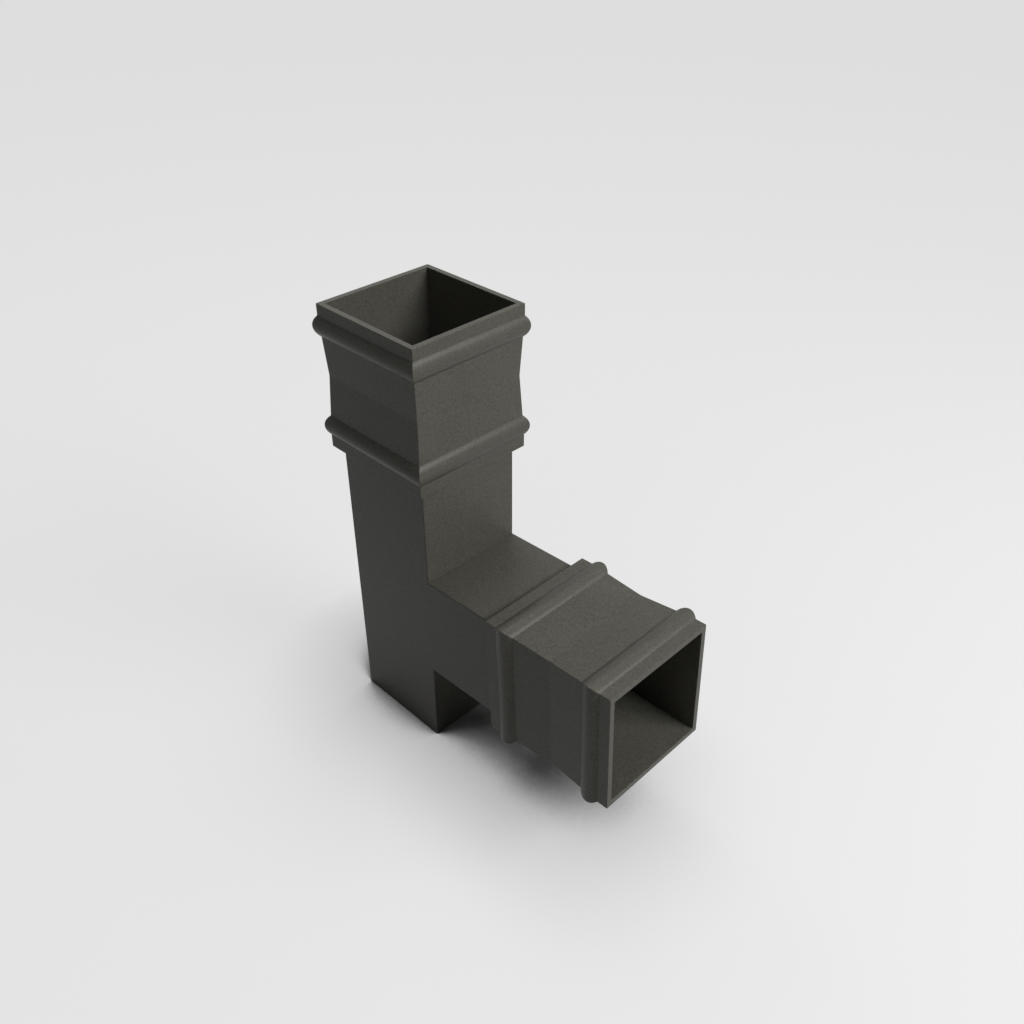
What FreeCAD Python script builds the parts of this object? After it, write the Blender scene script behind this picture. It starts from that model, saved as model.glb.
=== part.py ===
# Square downpipe branch: one hollow casting with a spigot foot, a head socket and a side arm.
#
# The main pipe stands along +Z with its open spigot end at the origin. The arm leaves it along +X,
# rising a little so that water runs back into the main pipe. The plain pipe has rounded long edges.
# Both runs end in the same moulded socket: a plain lip at the mouth, a bead, a waist of two slopes,
# a second bead and a collar. Every moulding goes round the square with mitred corners.
import FreeCAD, Part
import os

import Sketcher

os.makedirs("parts", exist_ok=True)
doc = FreeCAD.newDocument("DownpipeBranch")

# Driving sizes in millimetres, angles in degrees
SIZES = {
    # Square pipe of both runs
    "pipe_width": 76,
    "pipe_wall": 3.6,
    "pipe_corner": 1,
    # Lengths of plain pipe below each socket: main run from its foot, arm from the main axis
    "pipe_length": 207.8,
    "arm_reach": 97.8,
    # Where the arm's axis crosses the main axis, and how it rises
    "arm_height": 99.1,
    "arm_rise": 2.45,
    # Inside of the socket: a seat for the pipe that is pushed in, down to a stop above the collar's foot
    "joint_clearance": 0.8,
    "stop_height": 8,
    # Socket moulding round the seat, from the collar at the pipe to the lip at the mouth
    "socket_wall": 4.3,
    "socket_length": 96.9,
    "collar_length": 8.6,
    "lip_length": 7.6,
    "bead_width": 12.9,
    "bead_proud": 2.6,
    # Waist: its slopes start level with the lip's face and meet in a shallow valley
    "waist_depth": 2.15,
    "waist_from_mouth": 46.9,
    # Rim of the mouth, whose opening narrows to the seat as far down as the valley of the waist
    "lip_wall": 3.8,
}

sheet = doc.addObject("Spreadsheet::Sheet", "Sizes")
for row, (alias, value) in enumerate(SIZES.items(), start=1):
    sheet.set(f"A{row}", alias.replace("_", " "))
    sheet.set(f"B{row}", str(value))
    sheet.setAlias(f"B{row}", alias)
doc.recompute()

# Expressions that several features share
HALF_PIPE = "(Sizes.pipe_width / 2)"
HALF_BORE = "(Sizes.pipe_width / 2 - Sizes.pipe_wall)"
HALF_SEAT = "(Sizes.pipe_width / 2 + Sizes.joint_clearance)"
HALF_SOCKET = f"({HALF_SEAT} + Sizes.socket_wall)"
HALF_WAIST = f"({HALF_SOCKET} - Sizes.waist_depth)"
HALF_MOUTH = f"({HALF_SOCKET} - Sizes.lip_wall)"

# A bead is the cap of a round bar: its radius follows from how wide and how proud the cap is
BEAD_RADIUS = "((Sizes.bead_width ^ 2 / 4 + Sizes.bead_proud ^ 2) / (2 * Sizes.bead_proud))"
BEAD_CENTRE = f"({HALF_SOCKET} + Sizes.bead_proud - {BEAD_RADIUS})"

# A slab in side elevation is padded wider than the beads of the one that it is crossed with
SLAB_WIDTH = f"(2 * {HALF_SOCKET} + 4 * Sizes.bead_proud)"

# Run past an open end, so that a cut goes cleanly through it
OVERRUN = 5


def origin_plane(body, role):
    """One of the body's own three origin planes."""
    return next(f for f in body.Origin.OriginFeatures if f.Role == role)


def sketch_on(body, name, role):
    """An empty sketch on one of the body's origin planes."""
    sketch = body.newObject("Sketcher::SketchObject", name)
    sketch.AttachmentSupport = [(origin_plane(body, role), "")]
    sketch.MapMode = "FlatFace"
    return sketch


def bind(sketch, kind, references, expression, name):
    """Adds a driving constraint that takes its value from the sheet."""
    index = sketch.addConstraint(Sketcher.Constraint(kind, *references, sketch.evalExpression(expression)))
    sketch.renameConstraint(index, name)
    sketch.setExpression(f"Constraints.{name}", expression)


def draw_mirrored_outline(sketch, corners):
    """Draws a closed outline that is symmetric about the sketch's upright axis.

    corners lists the right-hand corners from the foot up, each as (name, half width, height).
    """
    ends = []
    for _, half_width, height in corners:
        ends.append((sketch.evalExpression(half_width), sketch.evalExpression(height)))
    right = [FreeCAD.Vector(x, y, 0) for x, y in ends]
    left = [FreeCAD.Vector(-x, y, 0) for x, y in reversed(ends)]
    loop = right + left
    count = len(loop)
    for index in range(count):
        sketch.addGeometry(Part.LineSegment(loop[index], loop[(index + 1) % count]), False)
    for index in range(count):
        sketch.addConstraint(Sketcher.Constraint("Coincident", index, 2, (index + 1) % count, 1))
    for index, (name, half_width, height) in enumerate(corners):
        bind(sketch, "DistanceX", (-1, 1, index, 1), half_width, f"{name}_half_width")
        bind(sketch, "DistanceY", (-1, 1, index, 1), height, f"{name}_height")
        twin = count - 1 - index
        sketch.addConstraint(Sketcher.Constraint("Symmetric", index, 1, twin, 1, -2))


def draw_bead_bars(sketch, heights):
    """Draws the two round bars of each bead, one on either side of the upright axis."""
    radius = sketch.evalExpression(BEAD_RADIUS)
    centre = sketch.evalExpression(BEAD_CENTRE)
    normal = FreeCAD.Vector(0, 0, 1)
    for name, height in heights:
        at = sketch.evalExpression(height)
        right = sketch.addGeometry(Part.Circle(FreeCAD.Vector(centre, at, 0), normal, radius), False)
        left = sketch.addGeometry(Part.Circle(FreeCAD.Vector(-centre, at, 0), normal, radius), False)
        bind(sketch, "Radius", (right,), BEAD_RADIUS, f"{name}_radius")
        bind(sketch, "DistanceX", (-1, 1, right, 3), BEAD_CENTRE, f"{name}_centre")
        bind(sketch, "DistanceY", (-1, 1, right, 3), height, f"{name}_height")
        sketch.addConstraint(Sketcher.Constraint("Equal", right, left))
        sketch.addConstraint(Sketcher.Constraint("Symmetric", right, 3, left, 3, -2))


def pad_both_ways(body, sketch, name, length):
    """Pads a sketch by the same amount to either side of its plane."""
    pad = body.newObject("PartDesign::Pad", name)
    pad.Profile = sketch
    pad.SideType = "Symmetric"
    pad.setExpression("Length", length)
    return pad


def pipe_bar(name, reach):
    """The plain pipe of a run as a square bar with rounded long edges, up into the collar."""
    body = doc.addObject("PartDesign::Body", name)
    section = sketch_on(body, f"{name}_section", "XY_Plane")
    draw_mirrored_outline(
        section,
        [
            ("near", HALF_PIPE, f"-{HALF_PIPE}"),
            ("far", HALF_PIPE, HALF_PIPE),
        ],
    )
    bar = body.newObject("PartDesign::Pad", f"{name}_run")
    bar.Profile = section
    bar.setExpression("Length", f"{reach} + Sizes.collar_length")
    doc.recompute()

    corners = []
    for number, edge in enumerate(bar.Shape.Edges, start=1):
        foot, top = (vertex.Point for vertex in edge.Vertexes)
        if foot.z != top.z:
            corners.append(f"Edge{number}")
    rounding = body.newObject("PartDesign::Fillet", f"{name}_corners")
    rounding.Base = (bar, corners)
    rounding.setExpression("Radius", "Sizes.pipe_corner")
    return body


def socket_slab(name, role, reach):
    """The outside of a run's socket as seen from one side, as a slab wider than the beads."""
    collar_top = f"{reach} + Sizes.collar_length"
    mouth = f"{reach} + Sizes.socket_length"
    lip_foot = f"{mouth} - Sizes.lip_length"

    body = doc.addObject("PartDesign::Body", name)
    outline = sketch_on(body, f"{name}_outline", role)
    draw_mirrored_outline(
        outline,
        [
            ("collar_foot", HALF_SOCKET, reach),
            ("collar_top", HALF_SOCKET, collar_top),
            ("waist", HALF_WAIST, f"{mouth} - Sizes.waist_from_mouth"),
            ("lip_foot", HALF_SOCKET, lip_foot),
            ("mouth", HALF_SOCKET, mouth),
        ],
    )
    pad_both_ways(body, outline, f"{name}_run", SLAB_WIDTH)

    beads = sketch_on(body, f"{name}_bead_bars", role)
    draw_bead_bars(
        beads,
        [
            ("collar_bead", f"{collar_top} + Sizes.bead_width / 2"),
            ("lip_bead", f"{lip_foot} - Sizes.bead_width / 2"),
        ],
    )
    pad_both_ways(body, beads, f"{name}_beads", SLAB_WIDTH)
    return body


def hollow_slab(name, role, reach, foot):
    """The hollow of a run from one side: bore, stop, seat of the pushed-in pipe and flared mouth."""
    mouth = f"{reach} + Sizes.socket_length"
    stop = f"{reach} + Sizes.stop_height"
    lead_in = f"{mouth} - Sizes.waist_from_mouth"

    body = doc.addObject("PartDesign::Body", name)
    outline = sketch_on(body, f"{name}_outline", role)
    draw_mirrored_outline(
        outline,
        [
            ("foot", HALF_BORE, foot),
            ("bore_top", HALF_BORE, stop),
            ("stop", HALF_SEAT, stop),
            ("lead_in", HALF_SEAT, lead_in),
            ("mouth", HALF_MOUTH, mouth),
            ("way_out", HALF_MOUTH, f"{mouth} + {OVERRUN}"),
        ],
    )
    pad_both_ways(body, outline, f"{name}_run", SLAB_WIDTH)
    return body


def lay_along_arm(body):
    """Turns a run that was drawn upright so that it lies along the arm's rising axis."""
    rise = sheet.evalExpression("Sizes.arm_rise")
    turn = FreeCAD.Rotation(FreeCAD.Vector(0, 1, 0), 90 - rise)
    body.Placement = FreeCAD.Placement(FreeCAD.Vector(0, 0, 0), turn)
    body.setExpression("Placement.Base.z", "Sizes.arm_height")
    body.setExpression("Placement.Rotation.Angle", "90 - Sizes.arm_rise")
    return body


def crossed(name, front, side):
    """What two slabs at right angles share, which mitres every moulding at the corners."""
    common = doc.addObject("Part::MultiCommon", name)
    common.Shapes = [front, side]
    common.Refine = True
    return common


# Main run, upright
main_pipe = pipe_bar("main_pipe", "Sizes.pipe_length")
main_socket = crossed(
    "main_socket",
    socket_slab("main_socket_front", "XZ_Plane", "Sizes.pipe_length"),
    socket_slab("main_socket_side", "YZ_Plane", "Sizes.pipe_length"),
)
main_hollow = crossed(
    "main_hollow",
    hollow_slab("main_hollow_front", "XZ_Plane", "Sizes.pipe_length", f"-{OVERRUN}"),
    hollow_slab("main_hollow_side", "YZ_Plane", "Sizes.pipe_length", f"-{OVERRUN}"),
)

# Arm, drawn upright from the point where its axis meets the main axis, then laid over
arm_pipe = lay_along_arm(pipe_bar("arm_pipe", "Sizes.arm_reach"))
arm_socket = crossed(
    "arm_socket",
    lay_along_arm(socket_slab("arm_socket_front", "XZ_Plane", "Sizes.arm_reach")),
    lay_along_arm(socket_slab("arm_socket_side", "YZ_Plane", "Sizes.arm_reach")),
)
arm_hollow = crossed(
    "arm_hollow",
    lay_along_arm(hollow_slab("arm_hollow_front", "XZ_Plane", "Sizes.arm_reach", "0")),
    lay_along_arm(hollow_slab("arm_hollow_side", "YZ_Plane", "Sizes.arm_reach", "0")),
)

# The casting: pipes and sockets as one form, less both hollows
form = doc.addObject("Part::MultiFuse", "outer_form")
form.Shapes = [main_pipe, main_socket, arm_pipe, arm_socket]
form.Refine = True
hollow = doc.addObject("Part::MultiFuse", "inner_hollow")
hollow.Shapes = [main_hollow, arm_hollow]
hollow.Refine = True
casting = doc.addObject("Part::Cut", "branch_casting")
casting.Base = form
casting.Tool = hollow
casting.Refine = True
casting.Label = "branch_casting"
doc.recompute()

# Nothing is written unless every object is sound
for item in doc.Objects:
    faults = {"Invalid", "Error"} & set(item.State)
    if faults:
        raise RuntimeError(f"{item.Label}: {', '.join(sorted(faults))}")
for item in (main_pipe, main_socket, arm_pipe, arm_socket, form, hollow, casting):
    if item.Shape.isNull() or not item.Shape.isValid():
        raise RuntimeError(f"{item.Label}: its shape is null or not valid")
if len(casting.Shape.Solids) != 1:
    raise RuntimeError(f"branch_casting: {len(casting.Shape.Solids)} solids, not one")

casting.Shape.exportStep(f"parts/{casting.Label}.step")

print(f"{casting.Label}: {casting.Shape.Volume / 1000:.1f} cubic centimetres")
box = casting.Shape.optimalBoundingBox(True, False)
for axis, low, high in zip("XYZ", (box.XMin, box.YMin, box.ZMin), (box.XMax, box.YMax, box.ZMax)):
    print(f"{axis} {low:.2f} to {high:.2f}")
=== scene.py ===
# %% [markdown]
# # A square downpipe branch in a dark powder coat
#
# The part is one aluminium casting from a house's rainwater pipes: a square main pipe that is open
# at both ends, with a plain spigot at its foot, a moulded socket at its head and a side arm that
# ends in the same socket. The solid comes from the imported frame. This lesson gives it the look of
# the real thing: arrises that are soft as a coated casting's are, a procedural powder coat, a pale
# studio floor and soft lamps.
#
# Everything is in metres, in the frame of the solid: the origin is the middle of the spigot's open
# end, +Z runs up the main pipe and +X runs out over the arm.

# %% Load the frame
import math

import bmesh
import bpy
from mathutils import Matrix, Vector
from mathutils.geometry import intersect_line_sphere_2d


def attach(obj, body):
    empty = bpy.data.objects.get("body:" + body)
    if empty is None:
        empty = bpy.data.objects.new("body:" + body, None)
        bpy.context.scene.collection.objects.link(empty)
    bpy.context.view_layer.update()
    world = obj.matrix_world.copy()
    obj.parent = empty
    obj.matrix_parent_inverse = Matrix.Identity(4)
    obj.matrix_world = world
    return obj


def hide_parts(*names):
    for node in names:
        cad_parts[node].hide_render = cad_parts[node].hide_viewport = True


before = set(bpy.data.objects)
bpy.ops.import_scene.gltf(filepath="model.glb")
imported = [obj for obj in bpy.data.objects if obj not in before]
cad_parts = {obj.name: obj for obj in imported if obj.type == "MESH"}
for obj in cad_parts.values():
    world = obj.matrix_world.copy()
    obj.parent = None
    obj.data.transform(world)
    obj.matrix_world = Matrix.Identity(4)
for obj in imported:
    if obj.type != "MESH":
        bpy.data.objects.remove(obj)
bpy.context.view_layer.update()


# %% [markdown]
# ## The camera
#
# The picture was taken from above the corner between the arm's side and its mouth, looking down
# equally along all three axes, as an isometric drawing does, but with the perspective of a 35 mm
# lens from about 0.7 m. Setting it first means that every later step can be judged in the right
# frame.

# %% Camera
camera_data = bpy.data.cameras.new("studio_camera")
camera_data.lens = 35
camera_data.sensor_width = 36
camera_data.clip_start = 0.01

camera = bpy.data.objects.new("studio_camera", camera_data)
camera.location = (0.42098, -0.34574, 0.53944)
looking = Vector((-1, 1, -1))
camera.rotation_euler = looking.to_track_quat("-Z", "Y").to_euler()
bpy.context.scene.collection.objects.link(camera)
bpy.context.scene.camera = camera
print("camera stands", round(camera.location.length, 3), "m from the spigot's foot")

# %% [markdown]
# ## The casting's true section
#
# Both runs have the same moulded socket. Cut one through its middle and the section of one wall
# reads, from the mouth inwards: a plain lip, a half-round bead, a waist of two shallow slopes that
# meet in a valley, a second bead and a plain collar that steps back to the pipe. A casting has no
# dead-sharp corner, and the powder that melts on it runs into each inner corner, so the corners of
# the mouldings get small radii.
#
# It could be modelled as a box with loop cuts, but the mouldings would then be hard to keep equal
# on four sides. Instead the section is drawn once as a chain of vertices and spun round the run's
# axis in four steps. A lathe with four steps makes a square form whose mouldings meet in true
# mitres.

# %% Sizes of the section, in metres
MM = 0.001
HALF_PIPE = 38 * MM
HALF_BORE = 34.4 * MM
HALF_SEAT = 38.8 * MM
HALF_MOUTH = 39.3 * MM
HALF_SOCKET = 43.1 * MM
HALF_WAIST = 40.95 * MM

COLLAR = 8.6 * MM
STOP = 8 * MM
LIP = 7.6 * MM
SOCKET = 96.9 * MM
VALLEY = 46.9 * MM

BEAD_WIDTH = 12.9 * MM
BEAD_PROUD = 2.6 * MM
BEAD_RADIUS = (BEAD_WIDTH**2 / 4 + BEAD_PROUD**2) / (2 * BEAD_PROUD)
BEAD_CENTRE = HALF_SOCKET + BEAD_PROUD - BEAD_RADIUS
print("bead radius in millimetres", round(BEAD_RADIUS / MM, 2))

# %% [markdown]
# ### A pen that draws a section
#
# The section lies in the XZ plane: x is how far a point is from the run's axis and z how far it is
# along the run. The pen extrudes one vertex at a time, and spins it round a bead's centre to draw
# the bead. It remembers the corners that are to be rounded, and rounds them together at the end
# with a vertex bevel, whose offset is worked out from how sharply the section turns there.

# %% The pen
BEAD_STEPS = 12
ROUNDING_STEPS = 3


class Section:
    """A chain of vertices in the XZ plane, drawn from point to point."""

    def __init__(self, half_width, height):
        self.mesh = bmesh.new()
        self.pen = self.mesh.verts.new((half_width, 0, height))
        self.rounded = []

    def line(self, half_width, height, radius=0.0):
        """Draws a straight line to a point, whose corner is rounded if it has a radius."""
        self.pen = bmesh.ops.extrude_vert_indiv(self.mesh, verts=[self.pen])["verts"][0]
        self.pen.co = (half_width, 0, height)
        if radius:
            self.rounded.append((self.pen, radius))
        return self

    def bead(self, centre_height, end, radius=0.0):
        """Draws a bead's arc round its centre to the end point."""
        centre = Vector((BEAD_CENTRE, 0, centre_height))
        start = self.pen.co - centre
        finish = Vector((end[0], 0, end[1])) - centre
        turn = math.atan2(finish.z, finish.x) - math.atan2(start.z, start.x)
        drawn = bmesh.ops.spin(
            self.mesh,
            geom=[self.pen],
            cent=centre,
            axis=(0, -1, 0),
            angle=turn,
            steps=BEAD_STEPS,
        )
        self.pen = next(part for part in drawn["geom_last"] if isinstance(part, bmesh.types.BMVert))
        if radius:
            self.rounded.append((self.pen, radius))
        return self

    def round_corners(self):
        """Rounds each remembered corner to its radius."""
        for corner, radius in self.rounded:
            here = corner.co
            before, after = (edge.other_vert(corner).co for edge in corner.link_edges)
            turn = (here - before).angle(after - here)
            bmesh.ops.bevel(
                self.mesh,
                geom=[corner],
                offset=radius * math.tan(turn / 2),
                offset_type="OFFSET",
                affect="VERTICES",
                segments=ROUNDING_STEPS,
                profile=0.5,
                material=-1,
            )
        return self


# %% [markdown]
# ### Four steps of a lathe
#
# A square form is a lathe with four steps. A point of the section that is to stand a half width out
# from each flat has to sit on the diagonal, the square root of two times as far out, so the section
# is stretched sideways by that much and turned by 45 degrees before the spin. The edges that run
# along the diagonals are then the mitres, and a narrow bevel rounds them.

# %% The square lathe
MERGE = 0.001 * MM


def square_form(section, name, arris=0.0, steps=1):
    """Spins a section into a closed square bar, whose mitres are rounded if they have an arris."""
    form = section.round_corners().mesh
    onto_diagonal = Matrix.Rotation(math.radians(45), 3, "Z") @ Matrix.Diagonal((math.sqrt(2), 1, 1))
    bmesh.ops.transform(form, matrix=onto_diagonal.to_4x4(), verts=form.verts)
    bmesh.ops.spin(
        form,
        geom=form.verts[:] + form.edges[:],
        cent=(0, 0, 0),
        axis=(0, 0, 1),
        angle=math.tau,
        steps=4,
        use_merge=True,
    )
    bmesh.ops.remove_doubles(form, verts=form.verts, dist=MERGE)
    bmesh.ops.recalc_face_normals(form, faces=form.faces)

    def on_one_diagonal(edge):
        one, other = (vertex.co for vertex in edge.verts)
        return one.x * other.x > MERGE**2 and one.y * other.y > MERGE**2

    if arris:
        bmesh.ops.bevel(
            form,
            geom=[edge for edge in form.edges if on_one_diagonal(edge)],
            offset=arris,
            offset_type="OFFSET",
            affect="EDGES",
            segments=steps,
            profile=0.5,
            material=-1,
        )
        bmesh.ops.recalc_face_normals(form, faces=form.faces)
    mesh = bpy.data.meshes.new(name)
    form.to_mesh(mesh)
    form.free()
    shape = bpy.data.objects.new(name, mesh)
    bpy.context.scene.collection.objects.link(shape)
    print(name, len(mesh.polygons), "faces")
    return shape


# %% [markdown]
# ### The pipe, the socket and the hollow of a run
#
# Both runs use the same three sections: the plain pipe with its rounded long edges, the moulded
# socket round its end, and the hollow that is cut out of both. The first to be drawn is the pipe,
# from the run's start up into the collar.

# %% Plain pipe
ARRIS = 0.3 * MM
PIPE_CORNER = 1 * MM
PIPE_CORNER_STEPS = 4
ARRIS_STEPS = 2


def pipe_form(name, reach):
    """The plain pipe of a run, closed at both ends."""
    section = Section(0, 0)
    section.line(HALF_PIPE, 0, ARRIS)
    section.line(HALF_PIPE, reach + COLLAR)
    section.line(0, reach + COLLAR)
    return square_form(section, name, PIPE_CORNER, PIPE_CORNER_STEPS)


# %% [markdown]
# The socket's section goes up the outside of the wall. Each bead ends where its circle meets the
# slope of the waist, and Blender's own line and circle test finds that point. The root of a bead
# that faces the mouth is filled softly and the other root is crisp. The valley of the waist turns
# by only six degrees, so its corner gets a much longer radius than the others to be seen as soft at
# all.

# %% Moulded socket
CRISP_ROOT = 0.35 * MM
SOFT_ROOT = 1.1 * MM
VALLEY_RADIUS = 20 * MM


def slope_meets_bead(slope_start, slope_end, bead_height):
    """Where a slope of the waist, drawn away from a bead's middle, leaves the bead's circle."""
    centre = (BEAD_CENTRE, bead_height)
    hits = intersect_line_sphere_2d(slope_start, slope_end, centre, BEAD_RADIUS, True)
    return next(point for point in hits if point is not None)


def socket_form(name, reach):
    """The outside of a run's socket, closed at both ends."""
    collar_top = reach + COLLAR
    mouth = reach + SOCKET
    lip_foot = mouth - LIP
    collar_bead = collar_top + BEAD_WIDTH / 2
    lip_bead = lip_foot - BEAD_WIDTH / 2
    valley = (HALF_WAIST, mouth - VALLEY)
    lower = slope_meets_bead((HALF_SOCKET, collar_top), valley, collar_bead)
    upper = slope_meets_bead((HALF_SOCKET, lip_foot), valley, lip_bead)

    section = Section(0, reach)
    section.line(HALF_SOCKET, reach, ARRIS)
    section.line(HALF_SOCKET, collar_top, CRISP_ROOT)
    section.bead(collar_bead, lower, SOFT_ROOT)
    section.line(*valley, VALLEY_RADIUS)
    section.line(*upper, CRISP_ROOT)
    section.bead(lip_bead, (HALF_SOCKET, lip_foot), SOFT_ROOT)
    section.line(HALF_SOCKET, mouth, ARRIS)
    section.line(0, mouth)
    return square_form(section, name, ARRIS, ARRIS_STEPS)


# %% [markdown]
# The hollow goes up the inside: the bore, the flat stop that the pushed-in pipe comes down to, the
# seat round that pipe, and the slope that guides it in. Where the hollow leaves the metal its
# section turns outwards, so that the cut leaves a rounded inner edge round the mouth and round the
# spigot's end.

# %% Hollow
OVERRUN = 2 * MM
LEAN = math.radians(60)
TURN_BELOW_END = ARRIS * (1 - math.tan(LEAN / 2))


def hollow_form(name, reach, open_foot):
    """The hollow of a run, closed at both ends, past the mouth and past an open foot."""
    mouth = reach + SOCKET
    lean_out = (OVERRUN + TURN_BELOW_END) * math.tan(LEAN)

    if open_foot:
        section = Section(0, -OVERRUN)
        section.line(HALF_BORE + lean_out, -OVERRUN)
        section.line(HALF_BORE, TURN_BELOW_END, ARRIS)
    else:
        section = Section(0, 0)
        section.line(HALF_BORE, 0)
    section.line(HALF_BORE, reach + STOP)
    section.line(HALF_SEAT, reach + STOP)
    section.line(HALF_SEAT, mouth - VALLEY)
    section.line(HALF_MOUTH, mouth - TURN_BELOW_END, ARRIS)
    section.line(HALF_MOUTH + lean_out, mouth + OVERRUN)
    section.line(0, mouth + OVERRUN)
    return square_form(section, name)


# %% [markdown]
# ### The two runs
#
# Both runs are drawn upright. The arm's forms are then turned over onto its axis, which rises
# nearly 2.5 degrees away from the main pipe so that water runs back, and lifted to where that axis
# crosses the main one.

# %% Main run and arm
MAIN_REACH = 207.8 * MM
ARM_REACH = 97.8 * MM
ARM_HEIGHT = 99.1 * MM
ARM_RISE = math.radians(2.45)

main_pipe = pipe_form("main_pipe", MAIN_REACH)
main_socket = socket_form("main_socket", MAIN_REACH)
main_hollow = hollow_form("main_hollow", MAIN_REACH, open_foot=True)
arm_pipe = pipe_form("arm_pipe", ARM_REACH)
arm_socket = socket_form("arm_socket", ARM_REACH)
arm_hollow = hollow_form("arm_hollow", ARM_REACH, open_foot=False)

turned_over = Matrix.Rotation(math.radians(90) - ARM_RISE, 4, "Y")
onto_arm = Matrix.Translation((0, 0, ARM_HEIGHT)) @ turned_over
for shape in (arm_pipe, arm_socket, arm_hollow):
    shape.data.transform(onto_arm)
mouth_centre = onto_arm @ Vector((0, 0, ARM_REACH + SOCKET))
print("arm's mouth is centred at", [round(value / MM, 2) for value in mouth_centre])

# %% [markdown]
# ### One casting
#
# The foundry pours the part in one go, so the four outer forms become one solid and both hollows
# are cut from it. Boolean modifiers do this exactly, and leave the junction of arm and pipe crisp,
# as it is on the real casting. The result is taken as one new mesh, and the forms it came from are
# removed.


# %% Join the forms and cut the hollows
def combined(base, steps):
    """The mesh of a form after a list of (operation, other form) booleans."""
    for operation, other in steps:
        boolean = base.modifiers.new(other.name, "BOOLEAN")
        boolean.operation = operation
        boolean.solver = "MANIFOLD"
        boolean.object = other
    depsgraph = bpy.context.evaluated_depsgraph_get()
    return bpy.data.meshes.new_from_object(base.evaluated_get(depsgraph))


casting_mesh = combined(
    main_pipe,
    [
        ("UNION", main_socket),
        ("UNION", arm_pipe),
        ("UNION", arm_socket),
        ("DIFFERENCE", main_hollow),
        ("DIFFERENCE", arm_hollow),
    ],
)
for shape in (main_pipe, main_socket, main_hollow, arm_pipe, arm_socket, arm_hollow):
    bpy.data.objects.remove(shape)
print("joined and hollowed,", len(casting_mesh.polygons), "faces")

# %% [markdown]
# Booleans leave flat faces in several pieces and points that lie on one another. The points are
# merged, and faces that lie in one plane are joined again. Then every face is shaded smooth, and
# only the edges that turn sharply, such as those where the arm meets the pipe, are marked as sharp.
# A closed casting has no open edge, so the open edges are counted.

# %% Clean the casting
FLAT = math.radians(0.05)
CRISP = math.radians(50)

skin = bmesh.new()
skin.from_mesh(casting_mesh)
bmesh.ops.remove_doubles(skin, verts=skin.verts, dist=MERGE)
bmesh.ops.dissolve_limit(skin, angle_limit=FLAT, verts=skin.verts, edges=skin.edges)
for face in skin.faces:
    face.smooth = True
for edge in skin.edges:
    edge.smooth = edge.calc_face_angle(math.pi) < CRISP
open_edges = [edge for edge in skin.edges if not edge.is_manifold]
skin.to_mesh(casting_mesh)
print(len(skin.faces), "faces,", len(open_edges), "open edges")
print("volume", round(skin.calc_volume() / (1000 * MM**3), 1), "cubic centimetres")
skin.free()

casting_mesh.name = "coated_casting"
casting = bpy.data.objects.new("coated_casting", casting_mesh)
bpy.context.scene.collection.objects.link(casting)

# %% [markdown]
# Smooth shading bends light across a flat face if a narrow rounded edge lies beside it. A Weighted
# Normal modifier lets the large faces win, so that flats read flat and only the edges turn.

# %% Flat faces stay flat
weighting = casting.modifiers.new("flat_faces_win", "WEIGHTED_NORMAL")
weighting.mode = "FACE_AREA"
weighting.weight = 50
weighting.keep_sharp = True

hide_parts("branch_casting")
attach(casting, "root")
print(casting.name, "rides on the root body and stands for branch_casting")

# %% [markdown]
# ## Shader nodes as sums
#
# A procedural finish is mostly arithmetic on patterns. Written node by node it is hard to read, so
# one small class wraps a node's socket: adding or multiplying wrapped sockets adds the Math nodes.

# %% A socket that does sums
class Signal:
    """A node's output socket that can be added, subtracted and multiplied."""

    def __init__(self, finish, socket):
        self.finish = finish
        self.socket = socket

    def worked(self, operation, first, second):
        return self.finish.node("ShaderNodeMath", {"operation": operation}, {0: first, 1: second})

    def __add__(self, other):
        return self.worked("ADD", self, other)

    __radd__ = __add__

    def __sub__(self, other):
        return self.worked("SUBTRACT", self, other)

    def __rsub__(self, other):
        return self.worked("SUBTRACT", other, self)

    def __mul__(self, other):
        return self.worked("MULTIPLY", self, other)

    __rmul__ = __mul__


# %% [markdown]
# A second class is the material. One method of it adds any other node from its type, its settings
# and its inputs, and a link is made wherever an input is a wrapped socket. A world is written in
# the same way, so the class serves both. The studio's floor and walls have to look pale without
# lighting the object more, and for that another method tells the rays that show them from the rays
# that only carry light.


# %% Writing a material or a world
class Finish:
    """A material, or a world, whose nodes are written as statements."""

    def __init__(self, name, kept_in=bpy.data.materials):
        self.owner = kept_in.new(name)
        self.owner.use_nodes = True
        self.nodes = self.owner.node_tree.nodes
        self.links = self.owner.node_tree.links
        self.nodes.clear()

    def node(self, kind, settings=None, inputs=None, output=0):
        """Adds a node, sets it up, feeds its inputs and returns one of its outputs."""
        added = self.nodes.new(kind)
        for name, value in (settings or {}).items():
            setattr(added, name, value)
        for name, value in (inputs or {}).items():
            if isinstance(value, Signal):
                self.links.new(value.socket, added.inputs[name])
            else:
                added.inputs[name].default_value = value
        return Signal(self, added.outputs[output]) if added.outputs else None

    def seen(self):
        """Is 1 for a ray from the camera or one that a glossy or clear surface sends on, else 0."""
        camera_ray = self.node("ShaderNodeLightPath", output="Is Camera Ray")
        glossy_ray = self.node("ShaderNodeLightPath", output="Is Glossy Ray")
        clear_ray = self.node("ShaderNodeLightPath", output="Is Transmission Ray")
        return camera_ray + glossy_ray + clear_ray

    def finished(self, shader, output="ShaderNodeOutputMaterial"):
        """Joins a shader to the output."""
        self.node(output, inputs={"Surface": shader})
        print(self.owner.name, "has", len(self.nodes), "nodes")
        return self.owner


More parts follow.
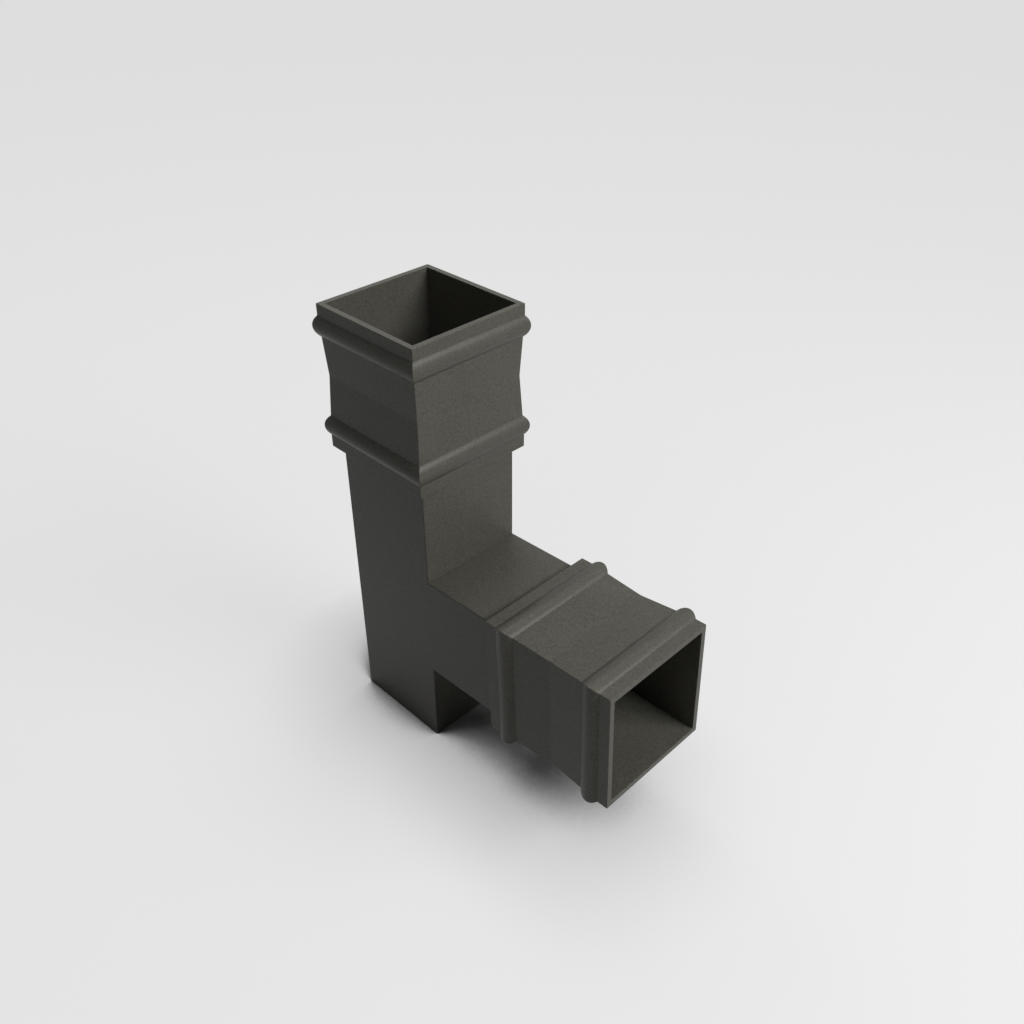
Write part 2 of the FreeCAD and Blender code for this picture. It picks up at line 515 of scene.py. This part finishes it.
# %% [markdown]
# ## The powder coat
#
# The coat is sprayed on as dry powder and melted in an oven. It has three sizes of unevenness. The
# smallest is a fine grain of about a millimetre with smaller grains in it, from the powder and from
# the cast skin below. The next is orange peel, long low waves a few millimetres across. The largest
# is a faint mottling over centimetres, where the coat is a little thicker or thinner. An image
# texture would need a map of the faces and would show its seams at the mitres. Noise on Object
# coordinates needs neither, and stays where it is on the part from every side.

# %% Three sizes of unevenness
coat = Finish("powder_coat")
place = coat.node("ShaderNodeTexCoord", output="Object")


def unevenness(size, detail):
    """Noise from -0.5 to 0.5 whose features are about this size, in metres."""
    noise = coat.node(
        "ShaderNodeTexNoise",
        {"noise_dimensions": "3D"},
        {"Vector": place, "Scale": 1 / size, "Detail": detail, "Roughness": 0.5},
        output="Fac",
    )
    return noise - 0.5


GRAIN_SIZE = 1.3 * MM
PEEL_SIZE = 4 * MM
MOTTLE_SIZE = 35 * MM
grain = unevenness(GRAIN_SIZE, 2)
peel = unevenness(PEEL_SIZE, 1)
mottle = unevenness(MOTTLE_SIZE, 2)
sizes = (GRAIN_SIZE, PEEL_SIZE, MOTTLE_SIZE)
print("sizes of the unevenness in millimetres", [round(size / MM, 1) for size in sizes])

# %% [markdown]
# The colour is a warm dark grey, whose tone the grain and the mottling vary. The bump's heights are
# given in metres, so that it is as deep as the real one. The coat is matte: it is fairly rough, and
# reflects less at its surface than a gloss paint would.

# %% Powder coat
COAT_COLOUR = (0.066, 0.0643, 0.0535)
GRAIN_TONE, MOTTLE_TONE = 0.95, 0.20
tone = 1 + GRAIN_TONE * grain + MOTTLE_TONE * mottle
colour = coat.node(
    "ShaderNodeVectorMath",
    {"operation": "SCALE"},
    {0: COAT_COLOUR, "Scale": tone},
)

GRAIN_HEIGHT = 0.013 * MM
PEEL_HEIGHT = 0.020 * MM
bump = coat.node(
    "ShaderNodeBump",
    inputs={"Strength": 1.0, "Distance": 1.0, "Height": grain * GRAIN_HEIGHT + peel * PEEL_HEIGHT},
)

MEAN_ROUGHNESS, GRAIN_ROUGHNESS, MOTTLE_ROUGHNESS = 0.35, 0.08, 0.05
SURFACE_REFLECTION = 0.12
powder_coat = coat.finished(
    coat.node(
        "ShaderNodeBsdfPrincipled",
        inputs={
            "Base Color": colour,
            "Roughness": MEAN_ROUGHNESS + GRAIN_ROUGHNESS * grain + MOTTLE_ROUGHNESS * mottle,
            "Specular IOR Level": SURFACE_REFLECTION,
            "Normal": bump,
        },
    )
)
casting.data.materials.clear()
casting.data.materials.append(powder_coat)

# %% [markdown]
# ## The floor
#
# The object stands on a wide pale floor that fades into the background without a horizon in view.
# It takes the lamps' shadows of the object, and a painted shadow in its glow under the arm, which
# tell the eye where the foot stands and how high the arm is.
#
# The lamps are close, so plain paint would darken away from the object. The floor is therefore two
# paints in one. What bounces light onto the object is plain grey paint. What the camera sees, and a
# glossy or clear surface too, is a darker paint, which takes the lamps' shadows, with a glow of its
# own added. The glow rises smoothly with the distance from the object, as the lamps' light falls.

# %% How the floor's glow rises
GLOW_NEAR, GLOW_FAR = 0.58, 0.72
RISE_CENTRE = (0.08, 0.066, 0)
RISE_START, RISE_END = -0.9, 1.83

paint = Finish("studio_floor")
from_object = paint.node(
    "ShaderNodeVectorMath",
    {"operation": "DISTANCE"},
    {0: paint.node("ShaderNodeTexCoord", output="Object"), 1: RISE_CENTRE},
    output="Value",
)
level = paint.node(
    "ShaderNodeMapRange",
    {"interpolation_type": "SMOOTHSTEP"},
    {
        "Value": from_object,
        "From Min": RISE_START,
        "From Max": RISE_END,
        "To Min": GLOW_NEAR,
        "To Max": GLOW_FAR,
    },
)
print("the glow rises towards", GLOW_FAR, "over", RISE_END, "m")

# %% [markdown]
# The glow's colour is darkened where little of the room near by is open, which paints a shadow
# into the floor in the gap under the arm. Ambient Occlusion measures how much of the room near by is
# open. It looks along a slant towards the room's bright side, which puts the painted shadow behind
# the foot and deep under the arm, and a smooth step makes it soft.

# %% Painted shadow in the gap under the arm
GAP_REACH = 0.1
GAP_SAMPLES = 24
BRIGHT_SIDE = (0.35, -0.2, 0.91)
OPEN_DARK, OPEN_BRIGHT = 0.58, 0.74

slant = paint.node("ShaderNodeCombineXYZ", inputs=dict(zip("XYZ", BRIGHT_SIDE)))
open_sky = paint.node(
    "ShaderNodeAmbientOcclusion",
    {"samples": GAP_SAMPLES},
    {"Distance": GAP_REACH, "Normal": slant},
    output="AO",
)
painted_shadow_mask = paint.node(
    "ShaderNodeMapRange",
    {"interpolation_type": "SMOOTHSTEP"},
    {"Value": open_sky, "From Min": OPEN_DARK, "From Max": OPEN_BRIGHT},
)
# The mask darkens the glow's colour: this is the painted shadow under the arm and behind the foot.
glow = paint.node(
    "ShaderNodeVectorMath",
    {"operation": "SCALE"},
    {0: (1, 1, 1), "Scale": level * painted_shadow_mask * open_sky},
)
print("the gap's shadow reaches", GAP_REACH, "m")

# %% [markdown]
# The two paints are mixed by what kind of ray meets the floor. The floor itself is one large face.

# %% Floor
FLOOR_SIDE = 30
FLOOR_PLAIN = (0.49, 0.49, 0.49, 1)
FLOOR_SEEN = (0.15, 0.15, 0.15, 1)

look = paint.node(
    "ShaderNodeAddShader",
    inputs={
        0: paint.node("ShaderNodeBsdfDiffuse", inputs={"Color": FLOOR_SEEN}),
        1: paint.node("ShaderNodeEmission", inputs={"Color": glow}),
    },
)
floor_paint = paint.finished(
    paint.node(
        "ShaderNodeMixShader",
        inputs={
            0: paint.seen(),
            1: paint.node("ShaderNodeBsdfDiffuse", inputs={"Color": FLOOR_PLAIN}),
            2: look,
        },
    )
)
sweep = bmesh.new()
bmesh.ops.create_grid(sweep, x_segments=1, y_segments=1, size=FLOOR_SIDE / 2)
floor_mesh = bpy.data.meshes.new("studio_floor")
sweep.to_mesh(floor_mesh)
sweep.free()
floor_mesh.materials.append(floor_paint)
floor = bpy.data.objects.new("studio_floor", floor_mesh)
bpy.context.scene.collection.objects.link(floor)

# %% [markdown]
# ## The lamps
#
# Soft light comes from round lamps a little over a metre away. Two make the key, over the arm's
# mouth. Two from above and one from behind light the tops and the hollows, and a weak one fills the
# side that faces away from the key. That close, a lamp lights the head socket more than the foot,
# and the upper sides of the beads catch it.

# %% Lamps
AIM = Vector((0.06, 0, 0.12))
LAMP_DISTANCE = 1.2
LAMPS = {
    "key": (10, 39, 0.4, 8.1),
    "key_side": (30, 38, 0.4, 7.3),
    "top_right": (100, 70, 0.4, 2.4),
    "top_back": (140, 72, 0.4, 2.8),
    "back": (165, 48, 0.4, 2.6),
    "fill": (285, 45, 0.5, 1.0),
}
for name, (azimuth, elevation, width, power) in LAMPS.items():
    lamp_data = bpy.data.lights.new(name, "AREA")
    lamp_data.shape = "DISK"
    lamp_data.size = width
    lamp_data.energy = power
    lamp = bpy.data.objects.new(name, lamp_data)
    around = Matrix.Rotation(math.radians(azimuth), 3, "Z")
    upwards = Matrix.Rotation(math.radians(-elevation), 3, "Y")
    towards_lamp = around @ upwards @ Vector((1, 0, 0))
    lamp.location = AIM + LAMP_DISTANCE * towards_lamp
    lamp.rotation_euler = (-towards_lamp).to_track_quat("-Z", "Y").to_euler()
    bpy.context.scene.collection.objects.link(lamp)
print(len(LAMPS), "lamps,", round(sum(lamp[3] for lamp in LAMPS.values()), 1), "W in all")

# %% [markdown]
# The room beyond the floor is as pale to the camera as the floor is, so that no dark horizon shows
# from low down. Its own light on the object is only a little.

# %% Room
ROOM_LIGHT, ROOM_SEEN = 0.04, 0.72
room = Finish("pale_room", bpy.data.worlds)
strength = ROOM_LIGHT + (ROOM_SEEN - ROOM_LIGHT) * room.seen()
walls = room.node("ShaderNodeBackground", inputs={"Color": (1, 1, 1, 1), "Strength": strength})

scene = bpy.context.scene
scene.world = room.finished(walls, "ShaderNodeOutputWorld")
scene.view_settings.view_transform = "Standard"
